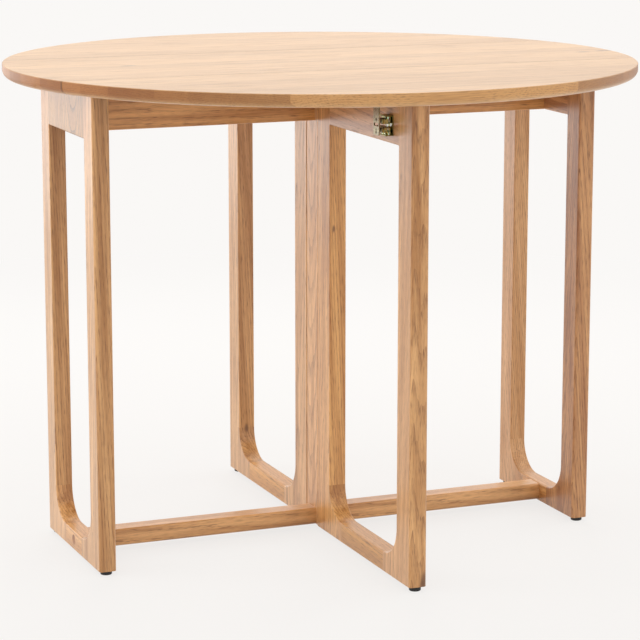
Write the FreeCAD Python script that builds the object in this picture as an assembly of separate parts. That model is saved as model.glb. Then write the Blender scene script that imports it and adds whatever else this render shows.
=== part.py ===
import FreeCAD, Part
import math
import os

# Round oak drop-leaf dining table. A fixed spine (two end frames, an apron and a stretcher in two
# halves, and a centre post) carries the middle board of the top. A gate swings out from each side
# of the centre post and holds up a hinged leaf, and a roller catch keeps the gate under its leaf.
# X runs along the spine, Y from the front leaf to the rear one, Z up from the floor. Millimetres.

# Driving dimensions of the top
top_diameter = 996.0
table_height = 762.0
top_thickness = 20.0
rim_round = 10.5
rim_bevel = 1.0
centre_board_width = 326.0
seam_gap = 1.0

# End frames, set in from the rim and from the plates of the leaf hinges
frame_inset = 80.0
frame_span = top_diameter - 2 * frame_inset
frame_plate_room = 1.0
frame_thickness = 27.0
frame_post_width = 45.0

# Sections that the end frames and the gates share
top_rail_height = 75.0
bottom_rail_height = 30.0
corner_radius = 50.0
outer_edge_round = 5.0
inner_edge_round = 2.0

# Spine between the end frames
apron_thickness = 22.0
apron_edge_round = 2.0
stretcher_width = 35.0
stretcher_height = 27.0
stretcher_lift = 2.0
stretcher_edge_round = 4.0
centre_post_width = 46.0
centre_post_thickness = 27.0
hinge_edge_round = 1.0

# Gates
gate_thickness = 28.0
gate_post_width = 51.0
gate_inset = 107.0
gate_reach = top_diameter / 2 - gate_inset
gate_lift = 1.0
gate_top_clearance = 0.6

# Feet
foot_height = 6.5
foot_diameter = 18.0
foot_round = 1.5
foot_inset = 12.0
foot_nail_diameter = 3.0
foot_nail_length = 22.0

# Dowels and screws
dowel_diameter = 8.0
dowel_length = 40.0
dowel_spread = 40.0
rail_dowel_spread = 13.0
stretcher_dowel_spread = 17.0
fastener_clearance = 0.05
fastener_end_gap = 0.5
screw_head_diameter = 6.0
screw_shank_diameter = 3.0
screw_head_height = 1.5
screw_length = 16.0
top_screw_diameter = 4.5
top_screw_head_diameter = 9.0
top_screw_head_height = 3.0
top_screw_grip = 25.0
top_screw_bite = 14.0
top_screw_bore = 10.5
apron_screw_insets = (77.0, 90.0)
rail_screw_inset = 43.0
bolt_diameter = 7.0
bolt_head_diameter = 14.0
bolt_head_height = 4.0
bolt_length = 66.0
plug_diameter = 16.0
plug_thickness = 5.0

# Leaf hinges, under the seams and outside the swing of the gates
leaf_hinge_length = 64.0
leaf_plate_width = 24.0
leaf_plate_thickness = 2.0
leaf_barrel_radius = 4.0
leaf_pin_radius = 2.0
leaf_barrel_drop = 0.3
leaf_screw_spots = ((-24.0, 13.0), (0.0, 18.0), (24.0, 13.0))
leaf_hinge_inset = 16.0
leaf_hinge_off_middle = 140.0
leaf_hinge_room = 6.0

# Gate hinges, on the +X edge of the centre post
gate_hinge_low_inset = 114.0
gate_hinge_high_inset = 76.0
gate_hinge_length = 60.0
gate_plate_width = 20.0
gate_plate_thickness = 1.5
gate_plate_gap = 0.4
gate_mortise_depth = 1.2
gate_barrel_radius = 3.2
gate_pin_radius = 1.6
gate_barrel_stand = 0.3
gate_screw_spots = ((-22.0, 11.0), (0.0, 14.0), (22.0, 11.0))

# What both kinds of hinge share
knuckle_count = 5
knuckle_gap = 0.3
knuckle_relief = 0.4
pin_clearance = 0.05
pin_head_height = 1.0

# Roller catch on each gate, and the strike that hangs from the leaf
catch_inset = 82.0
catch_drop = 48.0
catch_sheet = 1.5
catch_web_width = 24.0
catch_body_width = 22.0
catch_half_height = 15.0
catch_flange_depth = 12.0
jaw_mouth = 7.0
jaw_round = 4.4
jaw_flat = 0.1
cheek_thickness = 1.3
cheek_radius = 3.4
roller_radius = 3.6
roller_reach = 15.5
roller_room = 1.4
roller_gap = 5.8
roller_end_gap = 0.2
roller_pin_radius = 1.2
catch_screw_spread = 12.0
strike_sheet = 2.0
strike_width = 20.0
strike_flange_back = 2.5
strike_tail = 14.0
strike_round = 2.5
tongue_width = 16.0
tongue_length = 12.0
tongue_clearance = 0.3
window_height = 4.6
strike_hole_diameter = 5.0
strike_hole_rise = 9.0
strike_slot_width = 3.0
strike_slot_length = 7.0
strike_screw_reach = 12.0
strike_screw_spread = 13.0

# Levels and faces that follow from the sizes above
wood_low = foot_height
underside = table_height - top_thickness
rail_low = underside - top_rail_height
frame_seam_inset = leaf_plate_width + frame_plate_room
frame_width = centre_board_width - 2 * frame_seam_inset
frame_face = frame_span / 2
frame_middle = frame_face - frame_thickness / 2
frame_inside = frame_face - frame_thickness
stretcher_low = wood_low + stretcher_lift
stretcher_middle = stretcher_low + stretcher_height / 2
seam_y = centre_board_width / 2 + seam_gap / 2
post_face = centre_post_width / 2
gate_gap = 2 * (gate_plate_thickness - gate_mortise_depth) + gate_plate_gap
gate_inner_y = post_face + gate_gap
gate_face = gate_thickness / 2
gate_low = wood_low + gate_lift
gate_high = underside - gate_top_clearance
gate_axis_x = max(gate_face, centre_post_thickness / 2) + gate_barrel_radius + gate_barrel_stand
gate_axis_y = -(post_face + gate_gap / 2)
leaf_axis_z = underside - leaf_barrel_radius - leaf_barrel_drop
gate_sweep = math.hypot(gate_axis_x + gate_face, gate_reach + gate_axis_y)
gate_sweep_x = gate_axis_x + math.sqrt(gate_sweep ** 2 - (seam_y - leaf_plate_width + gate_axis_y) ** 2)
leaf_hinge_places = (
    -frame_inside + leaf_hinge_inset,
    -leaf_hinge_off_middle,
    gate_sweep_x + leaf_hinge_room + leaf_hinge_length / 2,
)
gate_hinge_low = gate_low + gate_hinge_low_inset
gate_hinge_high = rail_low - gate_hinge_high_inset
gate_hinge_heights = (gate_hinge_low, (gate_hinge_low + gate_hinge_high) / 2, gate_hinge_high)
apron_screw_places = (centre_post_thickness / 2 + apron_screw_insets[0], frame_inside - apron_screw_insets[1])
rail_screw_spread = frame_width - 2 * (frame_post_width + rail_screw_inset)
catch_from_middle = gate_reach - catch_inset
catch_z = underside - catch_drop
roller_rise = roller_radius + roller_gap / 2
jaw_depth = roller_reach - roller_radius - roller_room
jaw_corner = min(jaw_round, (jaw_depth - catch_sheet - jaw_flat) / 2)
strike_stand = roller_reach + roller_radius + roller_room

V = FreeCAD.Vector
origin = V(0, 0, 0)
along_x = V(1, 0, 0)
along_y = V(0, 1, 0)
along_z = V(0, 0, 1)
nearly = 0.001

solids_of = {}
bores_of = {}


def add(node, solid):
    solids_of.setdefault(node, []).append(solid)


def bore(node, tool):
    bores_of.setdefault(node, []).append(tool)


def front_to_rear(shape):
    return shape.mirror(origin, along_y)


def left_to_right(shape):
    return shape.mirror(origin, along_x)


def box(x0, x1, y0, y1, z0, z1):
    low = V(min(x0, x1), min(y0, y1), min(z0, z1))
    return Part.makeBox(abs(x1 - x0), abs(y1 - y0), abs(z1 - z0), low)


def rod(radius, start, end):
    return Part.makeCylinder(radius, (end - start).Length, start, end - start)


def straight_edges(shape, axis, chosen):
    """Straight edges along an axis whose middle point passes the test."""
    found = []
    for edge in shape.Edges:
        if isinstance(edge.Curve, Part.Line) and abs(abs(edge.tangentAt(0).dot(axis)) - 1) < nearly:
            if chosen(edge.CenterOfMass):
                found.append(edge)
    return found


def screw(head, direction):
    """Countersunk wood screw: the middle of its head, and the way it is driven."""
    neck = head + direction * screw_head_height
    shank = screw_shank_diameter / 2
    cone = Part.makeCone(screw_head_diameter / 2, shank, screw_head_height, head, direction)
    return cone.fuse(rod(shank, neck, head + direction * screw_length)).removeSplitter()


def screw_bore(head, direction):
    wide = screw_head_diameter / 2 + fastener_clearance
    narrow = screw_shank_diameter / 2 + fastener_clearance
    neck = head + direction * screw_head_height
    end = head + direction * (screw_length + fastener_end_gap)
    return Part.makeCone(wide, narrow, screw_head_height, head, direction).fuse(rod(narrow, neck, end))


def dowel(middle, axis, length):
    half = axis * (length / 2)
    return rod(dowel_diameter / 2, middle - half, middle + half)


def dowel_bore(middle, axis, length):
    half = axis * (length / 2 + fastener_end_gap)
    return rod(dowel_diameter / 2 + fastener_clearance, middle - half, middle + half)


# Top: one turned disc, cut along the two seams
def make_top():
    radius = top_diameter / 2
    bend = 1 - math.sqrt(0.5)
    low_in = V(radius - rim_round, 0, underside)
    low_mid = V(radius - rim_round * bend, 0, underside + rim_round * bend)
    low_out = V(radius, 0, underside + rim_round)
    high_out = V(radius, 0, table_height - rim_bevel)
    high_in = V(radius - rim_bevel, 0, table_height)
    outline = [
        Part.LineSegment(V(0, 0, underside), low_in),
        Part.Arc(low_in, low_mid, low_out),
        Part.LineSegment(low_out, high_out),
        Part.LineSegment(high_out, high_in),
        Part.LineSegment(high_in, V(0, 0, table_height)),
        Part.LineSegment(V(0, 0, table_height), V(0, 0, underside)),
    ]
    wire = Part.Wire([curve.toShape() for curve in outline])
    disc = Part.Face(wire).revolve(origin, along_z, 360)
    half = centre_board_width / 2
    add("centre_board", disc.common(box(-radius, radius, -half, half, 0, table_height)).Solids[0])
    leaf = disc.common(box(-radius, radius, -radius, -half - seam_gap, 0, table_height)).Solids[0]
    add("front_leaf", leaf)


# Frames: two posts that sweep into a bottom rail, and a top rail between them
def make_post(outer_y, inward, x_middle, thickness, width, low, high, rounded_sides, side_round):
    x_low = x_middle - thickness / 2
    reach = width + corner_radius
    rail_top = low + bottom_rail_height
    bend = corner_radius * (1 - math.sqrt(0.5))

    def at(y, z):
        return V(x_low, y, z)

    outline = [
        Part.LineSegment(at(0, low), at(reach, low)),
        Part.LineSegment(at(reach, low), at(reach, rail_top)),
        Part.Arc(at(reach, rail_top), at(width + bend, rail_top + bend), at(width, rail_top + corner_radius)),
        Part.LineSegment(at(width, rail_top + corner_radius), at(width, rail_low)),
        Part.LineSegment(at(width, rail_low), at(0, rail_low)),
        Part.LineSegment(at(0, rail_low), at(0, low)),
    ]
    wire = Part.Wire([curve.toShape() for curve in outline])
    lower = Part.Face(wire).extrude(V(thickness, 0, 0))
    upper = box(x_low, x_low + thickness, 0, width, rail_low, high)

    def outer(middle):
        side = 1 if middle.x > x_middle else -1
        return abs(middle.y) < nearly and side in rounded_sides

    lower = lower.makeFillet(side_round, straight_edges(lower, along_z, outer))
    upper = upper.makeFillet(side_round, straight_edges(upper, along_z, outer))
    inner = straight_edges(lower, along_z, lambda middle: abs(middle.y - width) < nearly)
    for edge in lower.Edges:
        if isinstance(edge.Curve, Part.Circle) and abs(edge.Curve.Radius - corner_radius) < nearly:
            inner.append(edge)
    lower = lower.makeFillet(inner_edge_round, inner)
    post = lower.fuse(upper).removeSplitter()
    if inward < 0:
        post = front_to_rear(post)
    post.translate(V(0, outer_y, 0))
    return post


def make_rail(x_middle, thickness, y0, y1, z0, z1, rounded_z):
    rail = box(x_middle - thickness / 2, x_middle + thickness / 2, y0, y1, z0, z1)
    edges = straight_edges(rail, along_y, lambda middle: abs(middle.z - rounded_z) < nearly)
    return rail.makeFillet(inner_edge_round, edges)


def make_frame(names, dowels, y0, y1, x_middle, thickness, width, low, high, outer_edges):
    """Four pieces and their dowels. names: the post at y0, the post at y1, top rail, bottom rail.
    outer_edges: for each post, the sides whose outer edge is rounded, and the radius."""
    first, second, top, bottom = names
    rail_top = low + bottom_rail_height
    add(first, make_post(y0, 1, x_middle, thickness, width, low, high, *outer_edges[0]))
    add(second, make_post(y1, -1, x_middle, thickness, width, low, high, *outer_edges[1]))
    add(top, make_rail(x_middle, thickness, y0 + width, y1 - width, rail_low, high, rail_low))
    low_reach = width + corner_radius
    add(bottom, make_rail(x_middle, thickness, y0 + low_reach, y1 - low_reach, low, rail_top, rail_top))
    for post, outer_y, inward in ((first, y0, 1), (second, y1, -1)):
        for side in (-1, 1):
            high_spot = V(x_middle, outer_y + inward * width, (rail_low + high) / 2 + side * dowel_spread / 2)
            low_spot = V(x_middle + side * rail_dowel_spread / 2, outer_y + inward * low_reach,
                         (low + rail_top) / 2)
            for rail, spot in ((top, high_spot), (bottom, low_spot)):
                add(dowels, dowel(spot, along_y, dowel_length))
                bore(post, dowel_bore(spot, along_y, dowel_length))
                bore(rail, dowel_bore(spot, along_y, dowel_length))


def make_foot(node, post, x, y, low):
    """Nail-on glide under a post that ends at the level low."""
    radius = foot_diameter / 2
    pad = rod(radius, V(x, y, 0), V(x, y, low))
    rim = [edge for edge in pad.Edges if isinstance(edge.Curve, Part.Circle) and edge.CenterOfMass.z < nearly]
    pad = pad.makeFillet(foot_round, rim)
    nail_top = V(x, y, low + foot_nail_length)
    add(node, pad.fuse(rod(foot_nail_diameter / 2, V(x, y, low), nail_top)).removeSplitter())
    hole_top = nail_top + along_z * fastener_end_gap
    bore(post, rod(foot_nail_diameter / 2 + fastener_clearance, V(x, y, low), hole_top))


def make_left_frame():
    half = frame_width / 2
    names = ("left_front_post", "left_rear_post", "left_top_rail", "left_bottom_rail")
    both = (((-1, 1), outer_edge_round), ((-1, 1), outer_edge_round))
    make_frame(names, "base_dowels", -half, half, -frame_middle, frame_thickness, frame_post_width,
               wood_low, underside, both)
    make_foot("frame_feet", "left_front_post", -frame_middle, -half + foot_inset, wood_low)
    make_foot("frame_feet", "left_rear_post", -frame_middle, half - foot_inset, wood_low)


def make_front_gate():
    names = ("front_gate_outer_post", "front_gate_inner_post",
             "front_gate_top_rail", "front_gate_bottom_rail")
    near_centre_square = (((-1, 1), outer_edge_round), ((-1,), hinge_edge_round))
    make_frame(names, "front_gate_dowels", -gate_reach, -gate_inner_y, 0, gate_thickness, gate_post_width,
               gate_low, gate_high, near_centre_square)
    make_foot("front_gate_foot", "front_gate_outer_post", 0, -gate_reach + foot_inset, gate_low)


# Spine: apron and stretcher halves on either side of the centre post
def make_beam(width, low, high, edge_round, rounded_levels):
    start = -frame_inside
    end = -centre_post_thickness / 2
    beam = box(start, end, -width / 2, width / 2, low, high)

    def rounded(middle):
        return min(abs(middle.z - level) for level in rounded_levels) < nearly

    return beam.makeFillet(edge_round, straight_edges(beam, along_x, rounded))


def make_spine():
    stretcher_high = stretcher_low + stretcher_height
    add("left_stretcher", make_beam(stretcher_width, stretcher_low, stretcher_high, stretcher_edge_round,
                                    (stretcher_low, stretcher_high)))
    add("left_apron", make_beam(apron_thickness, rail_low, underside, apron_edge_round, (rail_low,)))
    half = centre_post_thickness / 2
    post = box(-half, half, -post_face, post_face, stretcher_low, underside)
    post = post.makeFillet(hinge_edge_round, straight_edges(post, along_z, lambda middle: True))
    add("centre_post", post)

    through = centre_post_thickness + dowel_length
    rail_middle = (rail_low + underside) / 2
    for side in (-1, 1):
        low_spot = V(0, side * stretcher_dowel_spread / 2, stretcher_middle)
        high_spot = V(0, 0, rail_middle + side * dowel_spread / 2)
        for beam, spot in (("stretcher", low_spot), ("apron", high_spot)):
            add("centre_post_dowels", dowel(spot, along_x, through))
            for node in ("left_" + beam, "centre_post"):
                bore(node, dowel_bore(spot, along_x, through))
        end_spot = V(-frame_inside, 0, rail_middle + side * dowel_spread / 2)
        add("base_dowels", dowel(end_spot, along_x, dowel_length))
        for node in ("left_apron", "left_top_rail"):
            bore(node, dowel_bore(end_spot, along_x, dowel_length))


def make_stretcher_bolt():
    """Bolt through the bottom rail into the end of the stretcher, under a wooden plug."""
    face = V(-frame_face, 0, stretcher_middle)
    under_plug = face + along_x * plug_thickness
    under_head = under_plug + along_x * bolt_head_height
    tip = under_head + along_x * bolt_length
    shank = bolt_diameter / 2
    add("stretcher_plugs", rod(plug_diameter / 2, face, under_plug))
    head = rod(bolt_head_diameter / 2, under_plug, under_head)
    add("stretcher_bolts", head.fuse(rod(shank, under_head, tip)).removeSplitter())
    bore("left_bottom_rail", rod(plug_diameter / 2 + fastener_clearance, face, under_head))
    hole = rod(shank + fastener_clearance, under_head, tip + along_x * fastener_end_gap)
    bore("left_bottom_rail", hole)
    bore("left_stretcher", hole)


def make_top_screw(node, x, y):
    """Long screw up through a deep bore in an apron or rail into the middle board."""
    seat = V(x, y, underside - top_screw_grip)
    neck = seat + along_z * top_screw_head_height
    tip = V(x, y, underside + top_screw_bite)
    head_radius = top_screw_head_diameter / 2
    shank = top_screw_diameter / 2
    head = Part.makeCone(head_radius, shank, top_screw_head_height, seat, along_z)
    add("top_screws", head.fuse(rod(shank, neck, tip)).removeSplitter())
    bore(node, rod(top_screw_bore / 2, V(x, y, rail_low), seat))
    loose = fastener_clearance
    bore(node, Part.makeCone(head_radius + loose, shank + loose, top_screw_head_height, seat, along_z))
    hole = rod(shank + loose, neck, tip + along_z * fastener_end_gap)
    bore(node, hole)
    bore("centre_board", hole)
    bore("centre_board", left_to_right(hole))


def make_top_screws():
    for place in apron_screw_places:
        make_top_screw("left_apron", -place, 0)
    for side in (-1, 1):
        make_top_screw("left_top_rail", -frame_middle, side * rail_screw_spread / 2)


# Hinges, drawn along X with the plate lying towards +Y from the pin
def hinge_plate(length, width, low, high, barrel, pin, first_knuckle):
    """A plate with every second knuckle. The other plate's knuckles are cleared."""
    plate = box(-length / 2, length / 2, 0, width, low, high)
    pitch = length / knuckle_count
    own = []
    for index in range(knuckle_count):
        start = -length / 2 + index * pitch
        end = start + pitch
        if index % 2 == first_knuckle:
            trimmed_start = start + (knuckle_gap / 2 if index > 0 else 0)
            trimmed_end = end - (knuckle_gap / 2 if index < knuckle_count - 1 else 0)
            own.append(rod(barrel, V(trimmed_start, 0, 0), V(trimmed_end, 0, 0)))
        else:
            past = pin_head_height if index in (0, knuckle_count - 1) else knuckle_gap / 2
            room = rod(barrel + knuckle_relief, V(start - past, 0, 0), V(end + past, 0, 0))
            plate = plate.cut(room)
    plate = plate.fuse(own)
    pin_room = rod(pin + pin_clearance, V(-length, 0, 0), V(length, 0, 0))
    return plate.cut(pin_room).removeSplitter().Solids[0]


def hinge_pin(length, barrel, pin):
    """Pin with a head at each end, so that it can't drop out."""
    half = length / 2
    head = barrel - knuckle_relief
    body = rod(pin, V(-half, 0, 0), V(half, 0, 0))
    caps = [rod(head, V(side * half, 0, 0), V(side * (half + pin_head_height), 0, 0)) for side in (-1, 1)]
    return body.fuse(caps).removeSplitter()


def place(shape, u, v, w, spot):
    """A copy of a shape whose X, Y and Z now run along u, v and w from a spot."""
    moved = shape.copy()
    moved.Placement = FreeCAD.Placement(spot, FreeCAD.Rotation(u, v, w, "XYZ"))
    return moved


def fix_plate(plate, spots, face, driven, screws, woods, u, v, w, spot):
    """Screws a plate down. Returns the plate, drilled, in its place; the woods get the same holes."""
    for along, out in spots:
        local = V(along, out, face)
        plate = plate.cut(screw_bore(local, driven))
        add(screws, place(screw(local, driven), u, v, w, spot))
        for wood in woods:
            bore(wood, place(screw_bore(local, driven), u, v, w, spot))
    return place(plate, u, v, w, spot)


def make_leaf_hinge(x):
    spot = V(x, -seam_y, leaf_axis_z)
    high = leaf_barrel_radius + leaf_barrel_drop
    low = high - leaf_plate_thickness
    size = (leaf_hinge_length, leaf_plate_width, low, high, leaf_barrel_radius, leaf_pin_radius)
    fixed = fix_plate(hinge_plate(*size, 0), leaf_screw_spots, low, along_z, "base_screws", ("centre_board",),
                      along_x, along_y, along_z, spot)
    add("leaf_hinge_fixed_plates", fixed)
    leaf_spots = [(along, -out) for along, out in leaf_screw_spots]
    moving = fix_plate(front_to_rear(hinge_plate(*size, 1)), leaf_spots, low, along_z, "front_leaf_screws",
                       ("front_leaf",), along_x, along_y, along_z, spot)
    add("front_leaf_hinge_plates", moving)
    pin = hinge_pin(leaf_hinge_length, leaf_barrel_radius, leaf_pin_radius)
    add("leaf_hinge_pins", place(pin, along_x, along_y, along_z, spot))


def make_gate_hinge(z):
    spot = V(gate_axis_x, gate_axis_y, z)
    axes = (along_z, along_x * -1, along_y * -1)
    near = gate_plate_gap / 2
    far = near + gate_plate_thickness
    shared = (gate_hinge_length, gate_plate_width)
    barrel = (gate_barrel_radius, gate_pin_radius)
    into_post = along_z * -1
    fixed = fix_plate(hinge_plate(*shared, -far, -near, *barrel, 0), gate_screw_spots, -near, into_post,
                      "base_screws", ("centre_post",), *axes, spot)
    add("gate_hinge_fixed_plates", fixed)
    moving = fix_plate(hinge_plate(*shared, near, far, *barrel, 1), gate_screw_spots, near, along_z,
                       "front_gate_screws", ("front_gate_inner_post",), *axes, spot)
    add("front_gate_hinge_plates", moving)
    pin = hinge_pin(gate_hinge_length, gate_barrel_radius, gate_pin_radius)
    add("gate_hinge_pins", place(pin, *axes, spot))
    half = gate_hinge_length / 2 + fastener_clearance
    recess_out = gate_plate_width + fastener_clearance
    for node, inner, outer in (("centre_post", -far, 0), ("front_gate_inner_post", 0, far)):
        bore(node, place(box(-half, half, 0, recess_out, inner, outer), *axes, spot))


# Roller catch, on the -X face of the gate's top rail
def catch_at(reach, along, rise):
    """A point by its distance from the rail, along the rail and up from the catch's middle."""
    return V(-gate_face - reach, -catch_from_middle + along, catch_z + rise)


def catch_box(reach0, reach1, along0, along1, rise0, rise1):
    low = catch_at(reach0, along0, rise0)
    high = catch_at(reach1, along1, rise1)
    return box(low.x, high.x, low.y, high.y, low.z, high.z)


def make_catch_frame():
    half_web = catch_web_width / 2
    half_body = catch_body_width / 2
    frame = catch_box(0, catch_sheet, -half_web, half_web, -catch_half_height, catch_half_height)
    for side in (-1, 1):
        inner = side * (catch_half_height - catch_sheet)
        flange = catch_box(0, catch_flange_depth, -half_body, half_body, inner, side * catch_half_height)
        frame = frame.fuse(flange)
    frame = frame.removeSplitter()
    for side in (-1, 1):
        head = catch_at(catch_sheet, side * catch_screw_spread / 2, 0)
        frame = frame.cut(screw_bore(head, along_x))
        add("front_gate_screws", screw(head, along_x))
        bore("front_gate_top_rail", screw_bore(head, along_x))
    add("front_catch_frame", frame.Solids[0])


def make_catch_jaw(side, roller_node):
    """A sprung jaw, its roller and the roller's pin; side is 1 for the upper jaw."""
    half = catch_body_width / 2
    deep = jaw_depth
    inner = side * jaw_mouth / 2
    outer = side * (catch_half_height - catch_sheet)
    jaw = catch_box(catch_sheet, deep, -half, half, inner, outer)
    jaw = jaw.makeFillet(jaw_corner, straight_edges(jaw, along_z, lambda middle: True))
    for hand in (-1, 1):
        face = hand * half
        inside = hand * (half - cheek_thickness)
        eye = rod(cheek_radius, catch_at(roller_reach, inside, side * roller_rise),
                  catch_at(roller_reach, face, side * roller_rise))
        arm = catch_box(deep - jaw_corner - cheek_thickness, roller_reach, inside, face,
                        side * (roller_rise - cheek_radius), side * (roller_rise + cheek_radius))
        jaw = jaw.fuse([arm, eye])
    pin_start = catch_at(roller_reach, -half, side * roller_rise)
    pin_end = catch_at(roller_reach, half, side * roller_rise)
    pin_room = rod(roller_pin_radius + pin_clearance, pin_start, pin_end)
    add("front_catch_jaws", jaw.removeSplitter().cut(pin_room).Solids[0])
    add("front_catch_roller_pins", rod(roller_pin_radius, pin_start, pin_end))
    half_roller = half - cheek_thickness - roller_end_gap
    roller = rod(roller_radius, catch_at(roller_reach, -half_roller, side * roller_rise),
                 catch_at(roller_reach, half_roller, side * roller_rise))
    add(roller_node, roller.cut(pin_room))


def make_strike():
    half = strike_width / 2
    back = strike_stand + strike_sheet
    tongue_low = -roller_gap / 2 + tongue_clearance
    tongue_high = tongue_low + strike_sheet
    plate = catch_box(strike_stand, back, -half, half, -strike_tail, catch_drop)
    plate = plate.makeFillet(strike_round, straight_edges(plate, along_x, lambda middle: middle.z < catch_z))
    flange = catch_box(strike_flange_back, back, -half, half, catch_drop - strike_sheet, catch_drop)
    window = catch_box(0, back, -tongue_width / 2, tongue_width / 2, tongue_high, tongue_high + window_height)
    tongue = catch_box(strike_stand - tongue_length, strike_stand + strike_sheet, -tongue_width / 2,
                       tongue_width / 2, tongue_low, tongue_high)
    tip = straight_edges(tongue, along_z, lambda middle: middle.x > catch_at(strike_stand - nearly, 0, 0).x)
    tongue = tongue.makeFillet(strike_round, tip)
    hole_middle = catch_at(0, 0, strike_hole_rise)
    hole = rod(strike_hole_diameter / 2, hole_middle, hole_middle - along_x * back)
    slot_half = strike_slot_width / 2
    slot_low = tongue_low - strike_slot_length - strike_sheet
    slot = catch_box(0, back, -slot_half, slot_half, slot_low, slot_low + strike_slot_length)
    strike = plate.cut([window, hole, slot]).fuse([flange, tongue]).removeSplitter()
    for side in (-1, 1):
        head = catch_at(strike_screw_reach, side * strike_screw_spread / 2, catch_drop - strike_sheet)
        strike = strike.cut(screw_bore(head, along_z))
        add("front_leaf_screws", screw(head, along_z))
        bore("front_leaf", screw_bore(head, along_z))
    add("front_strike", strike.Solids[0])


def mirror_half(prefix, twin_prefix, mirror):
    """Gives each node of one half its twin in the other half, holes included."""
    for table in (solids_of, bores_of):
        for node in [name for name in table if name.startswith(prefix)]:
            twin = twin_prefix + node[len(prefix):]
            table.setdefault(twin, []).extend(mirror(shape) for shape in table[node])


def mirror_shared(nodes, table, mirror):
    """Adds the other half's pieces or holes to nodes that both halves share."""
    for node in nodes:
        table[node] = table[node] + [mirror(shape) for shape in table[node]]


# Left half of the spine, then its twin on the right
make_left_frame()
make_stretcher_bolt()
make_top_screws()
make_spine()
mirror_half("left_", "right_", left_to_right)
mirror_shared(("base_dowels", "frame_feet", "stretcher_plugs", "stretcher_bolts", "top_screws"),
              solids_of, left_to_right)

# Front leaf, gate and catch, then their twins at the rear
centre_board_bores = bores_of.pop("centre_board")
centre_post_bores = bores_of.pop("centre_post")
make_top()
make_front_gate()
for hinge_x in leaf_hinge_places:
    make_leaf_hinge(hinge_x)
for hinge_z in gate_hinge_heights:
    make_gate_hinge(hinge_z)
make_catch_frame()
make_catch_jaw(1, "front_catch_upper_roller")
make_catch_jaw(-1, "front_catch_lower_roller")
make_strike()
mirror_half("front_", "rear_", front_to_rear)
mirror_shared(("leaf_hinge_fixed_plates", "leaf_hinge_pins", "gate_hinge_fixed_plates", "gate_hinge_pins",
               "base_screws"), solids_of, front_to_rear)
mirror_shared(("centre_board", "centre_post"), bores_of, front_to_rear)
bores_of["centre_board"] += centre_board_bores
bores_of["centre_post"] += centre_post_bores

# Drill every piece and write it out
os.makedirs("parts", exist_ok=True)
for node in sorted(solids_of):
    finished = []
    for solid in solids_of[node]:
        drilled = solid.cut(bores_of[node]) if node in bores_of else solid
        finished.extend(drilled.Solids)
    shape = finished[0] if len(finished) == 1 else Part.makeCompound(finished)
    shape.exportStep("parts/" + node + ".step")
    print(node, len(finished), round(shape.Volume), shape.isValid())
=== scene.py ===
# %% [markdown]
# A round drop-leaf dining table in oiled oak. The imported model already holds every piece of wood and
# metal at its real size, so this lesson is about looks: light, camera, wood grain and small hardware.
# Loading the frame comes first, because every later piece takes its place from it.

# %% Load the frame
import math
import bmesh
import bpy
from mathutils import Euler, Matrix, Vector


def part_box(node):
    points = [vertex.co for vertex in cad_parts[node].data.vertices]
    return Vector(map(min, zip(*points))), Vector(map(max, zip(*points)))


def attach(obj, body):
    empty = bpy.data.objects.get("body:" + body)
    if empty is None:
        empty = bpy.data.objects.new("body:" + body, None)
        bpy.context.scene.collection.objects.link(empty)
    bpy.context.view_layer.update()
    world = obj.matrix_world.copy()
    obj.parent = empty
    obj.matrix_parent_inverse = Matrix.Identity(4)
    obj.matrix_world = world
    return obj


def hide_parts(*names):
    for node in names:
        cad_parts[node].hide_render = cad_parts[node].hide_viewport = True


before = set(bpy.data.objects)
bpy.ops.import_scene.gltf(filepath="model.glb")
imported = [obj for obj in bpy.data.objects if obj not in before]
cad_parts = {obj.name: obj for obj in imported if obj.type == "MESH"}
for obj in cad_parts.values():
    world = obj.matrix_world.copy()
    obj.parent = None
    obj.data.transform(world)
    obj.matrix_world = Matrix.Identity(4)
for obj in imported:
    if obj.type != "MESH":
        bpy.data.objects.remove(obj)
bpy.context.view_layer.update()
scene = bpy.context.scene
mm = 0.001


# %% [markdown]
# The camera stands where the photographer stood: to the left of the front, a little above the top, and
# far enough away for a long lens. It is turned down to the middle of the table. A shifted lens would keep
# upright lines parallel, but the shift stays when the camera is moved round the table for other views,
# and would push the table off their middle. So there is none.

# %% Camera
camera_turn = math.radians(22.06)
camera_distance = 4.034
camera_height = 1.156
camera_tilt = math.radians(11.4)
focal_pixels = 2558
image_pixels = 640
sensor_width = 36

camera_data = bpy.data.cameras.new("camera")
camera_data.sensor_width = sensor_width
camera_data.lens = focal_pixels / image_pixels * sensor_width
camera = bpy.data.objects.new("camera", camera_data)
camera_x = -camera_distance * math.sin(camera_turn)
camera_y = -camera_distance * math.cos(camera_turn)
camera.location = (camera_x, camera_y, camera_height)
camera.rotation_euler = (math.pi / 2 - camera_tilt, 0, -camera_turn)
scene.collection.objects.link(camera)
scene.camera = camera
print("camera", [round(c, 3) for c in camera.location], "lens", round(camera_data.lens, 1))


# %% [markdown]
# Three small helpers serve the rest of the file. Colours are written as sRGB hex, the way a paint card
# gives them, and shaders want linear light, so one function converts. The next gives a new material or
# world an empty node tree. The last adds any node to any tree: its settings are plain attributes, and each
# input takes either a value or another node's output. Nodes could be placed by hand in the editor, but
# a script makes the same tree each time and can be read.

# %% Helpers for colours and nodes
def linear(hex_colour):
    """An sRGB hex colour as the linear RGBA that a socket holds."""
    channels = [int(hex_colour[i:i + 2], 16) / 255 for i in (1, 3, 5)]
    return [c / 12.92 if c <= 0.04045 else ((c + 0.055) / 1.055) ** 2.4 for c in channels] + [1.0]


def empty_tree(owner):
    """The node tree of a new material or world, with its default nodes taken out."""
    owner.use_nodes = True
    owner.node_tree.nodes.clear()
    return owner.node_tree


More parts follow.
